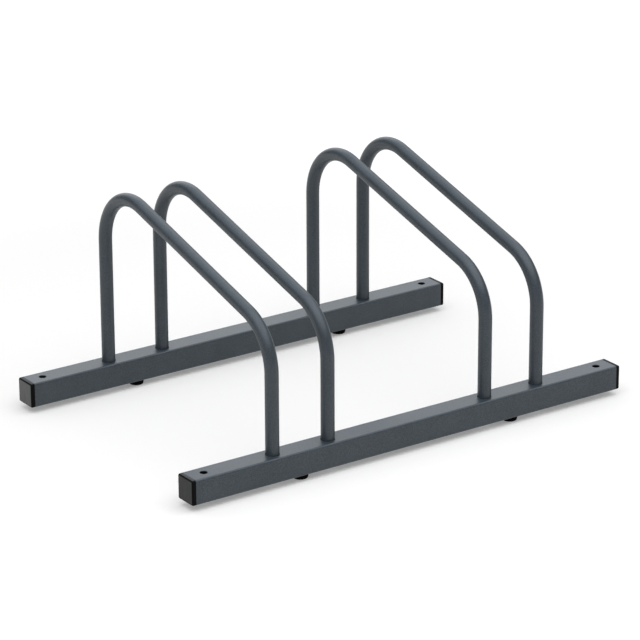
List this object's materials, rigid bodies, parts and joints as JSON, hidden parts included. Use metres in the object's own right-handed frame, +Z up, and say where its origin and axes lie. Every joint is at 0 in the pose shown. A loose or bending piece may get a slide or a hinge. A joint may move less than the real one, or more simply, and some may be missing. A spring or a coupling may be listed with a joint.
{
  "type": "hoop bike rack",
  "caption": "Floor-standing bike rack: bent tube hoops in pairs stand in square rails on rubber feet, and a wheel goes between the hoops of a pair.",
  "frame": {"origin": "on the floor, under the middle of the rack", "axes": "+X along the rails, +Y from the front rail with the short legs to the rear rail with the tall legs, +Z up"},
  "size_m": [0.602, 0.379, 0.2631],
  "materials": {
    "powder_coat": "satin anthracite powder coat with a fine orange peel",
    "cap_plastic": "black moulded plastic with a fine grain",
    "foot_rubber": "black moulded rubber, matt",
    "zinc_steel": "bright zinc plate"
  },
  "bodies": {
    "root": {"rail_front": "powder_coat", "rail_rear": "powder_coat", "hoop_left_outer": "powder_coat", "hoop_left_inner": "powder_coat", "hoop_right_inner": "powder_coat", "hoop_right_outer": "powder_coat", "leg_plug_front_left_outer": "zinc_steel", "leg_plug_front_left_inner": "zinc_steel", "leg_plug_front_right_inner": "zinc_steel", "leg_plug_front_right_outer": "zinc_steel", "leg_plug_rear_left_outer": "zinc_steel", "leg_plug_rear_left_inner": "zinc_steel", "leg_plug_rear_right_inner": "zinc_steel", "leg_plug_rear_right_outer": "zinc_steel", "leg_screw_front_left_outer": "zinc_steel", "leg_screw_front_left_inner": "zinc_steel", "leg_screw_front_right_inner": "zinc_steel", "leg_screw_front_right_outer": "zinc_steel", "leg_screw_rear_left_outer": "zinc_steel", "leg_screw_rear_left_inner": "zinc_steel", "leg_screw_rear_right_inner": "zinc_steel", "leg_screw_rear_right_outer": "zinc_steel", "end_cap_front_left": "cap_plastic", "end_cap_front_right": "cap_plastic", "end_cap_rear_left": "cap_plastic", "end_cap_rear_right": "cap_plastic", "foot_front_left": "foot_rubber", "foot_front_right": "foot_rubber", "foot_rear_left": "foot_rubber", "foot_rear_right": "foot_rubber"}
  },
  "joints": []
}
